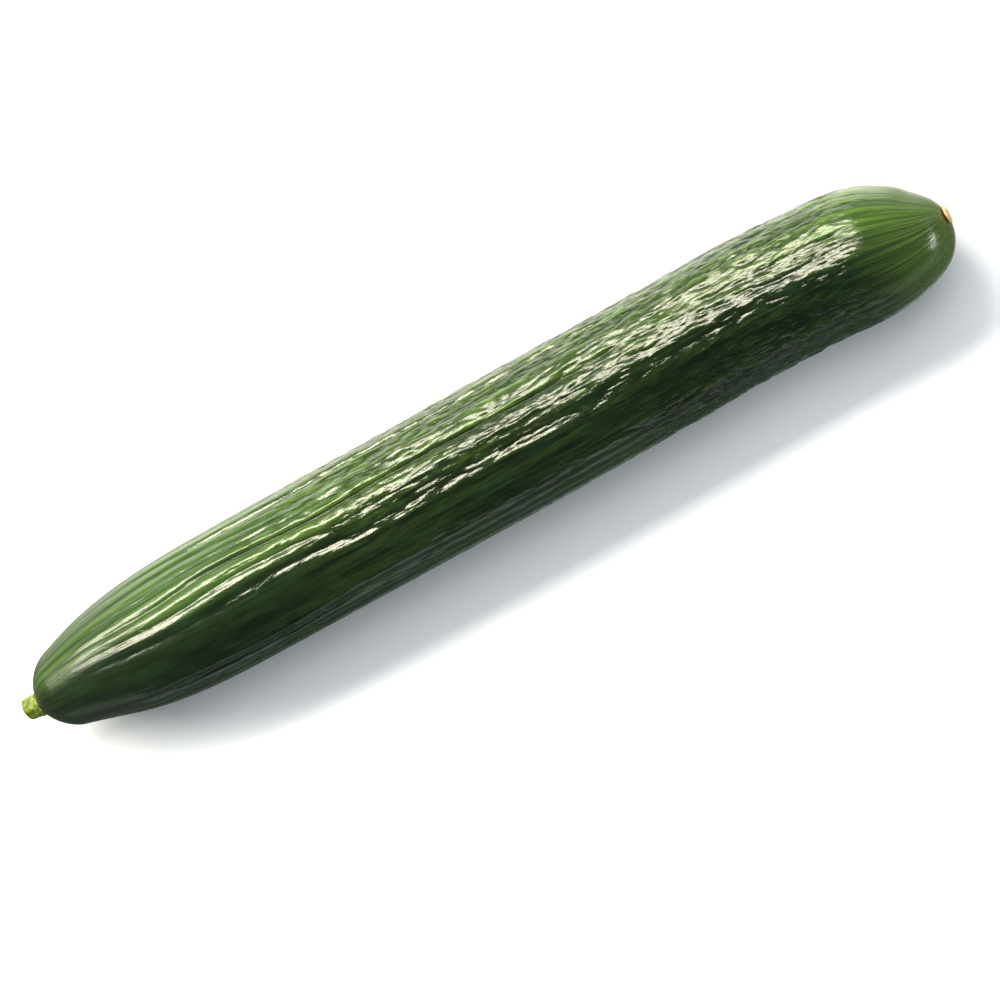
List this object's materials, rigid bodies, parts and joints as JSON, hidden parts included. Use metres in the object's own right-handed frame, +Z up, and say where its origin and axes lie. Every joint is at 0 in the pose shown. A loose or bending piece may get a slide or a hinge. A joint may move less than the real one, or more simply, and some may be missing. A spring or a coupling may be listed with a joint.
{
  "type": "cucumber",
  "caption": "Long greenhouse cucumber with low ribs and creases, a short cut stalk and a small corky flower scar, lying on its side.",
  "frame": {"origin": "on the surface that the cucumber rests on, below the middle of its bounding box", "axes": "+X along the cucumber from its stalk to its flower end, +Y to its side, +Z up"},
  "size_m": [0.3262, 0.045, 0.0439],
  "materials": {
    "skin": "thin waxy vegetable skin, dark green with yellow-green streaks along the ribs, glossy",
    "stalk": "fresh green stem with fine lengthwise ridges and a dry tan cut, satin",
    "scar": "dry corky ring, pale orange, matte"
  },
  "bodies": {
    "root": {"fruit": "skin", "stalk": "stalk", "blossom_scar": "scar"}
  },
  "joints": []
}
